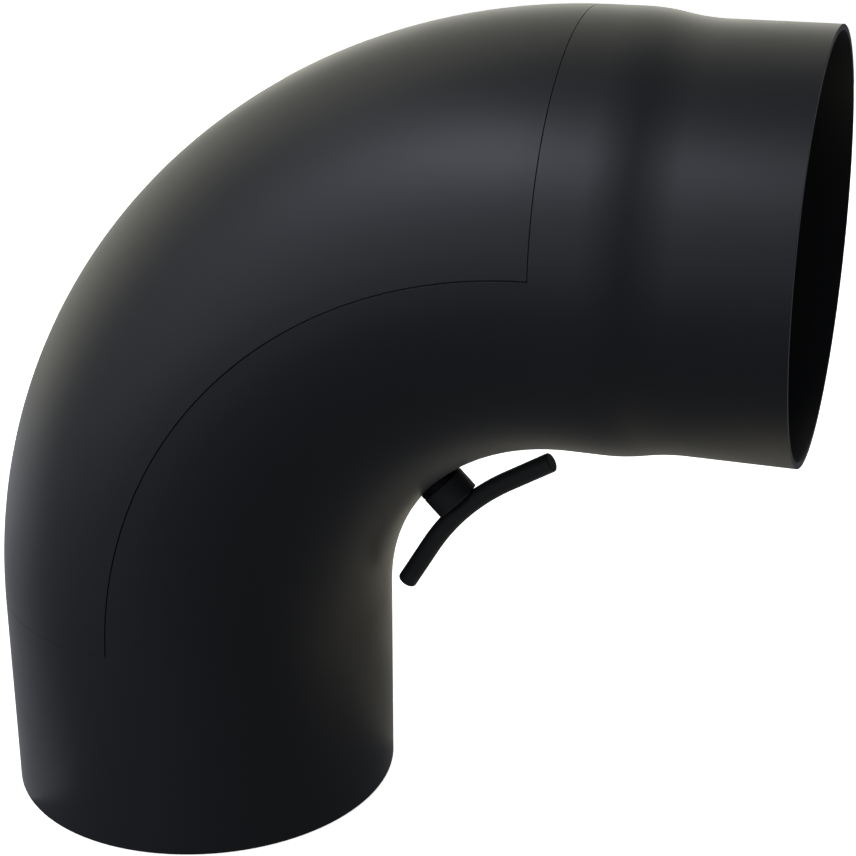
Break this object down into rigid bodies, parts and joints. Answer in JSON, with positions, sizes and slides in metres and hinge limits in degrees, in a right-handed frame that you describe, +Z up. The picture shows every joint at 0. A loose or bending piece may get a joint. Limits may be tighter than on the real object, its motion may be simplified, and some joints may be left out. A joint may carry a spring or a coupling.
{
  "type": "flue elbow with cleanout",
  "caption": "Bent black steel flue elbow with a drawn-in spigot and a flush lift-off cleanout cover, clamped from inside the bend by a turned toggle handle.",
  "frame": {"origin": "centre of the lower rim, where the elbow sits on the pipe or stove collar below", "axes": "+Z up along the lower leg, +X along the horizontal leg towards its mouth"},
  "size_m": [0.313, 0.154, 0.313],
  "materials": {
    "black_flue_paint": "matt heat-resistant paint, fine grained",
    "zinc_plated_steel": "zinc-plated thread",
    "black_oxide_steel": "black oxide"
  },
  "bodies": {
    "elbow": {"elbow_tube": "black_flue_paint", "seat_strip_front": "black_flue_paint", "seat_strip_rear": "black_flue_paint", "seat_band_lower": "black_flue_paint", "seat_band_upper": "black_flue_paint"},
    "cover": {"cleanout_cover": "black_flue_paint", "clamp_stud": "zinc_plated_steel", "stud_foot": "black_flue_paint"},
    "washer": {"saddle_washer": "black_oxide_steel"},
    "handle": {"handle_sleeve": "black_flue_paint", "handle_bar": "black_flue_paint"}
  },
  "joints": [
    {"name": "cover_lift", "type": "slide", "parent": "elbow", "child": "cover", "axis": [-0.7071, 0, 0.7071], "range_m": [0, 0.15]},
    {"name": "handle_travel", "type": "slide", "parent": "elbow", "child": "washer", "axis": [0.7071, 0, -0.7071], "range_m": [0, 0.0075]},
    {"name": "handle_turn", "type": "hinge", "parent": "washer", "child": "handle", "pos_m": [0.10214, 0, 0.13386], "axis": [0.7071, 0, -0.7071], "range_deg": [0, 2160]}
  ],
  "couplings": [
    {"joint": "handle_travel", "follows": "handle_turn", "m_per_rad": 0.00019894}
  ]
}
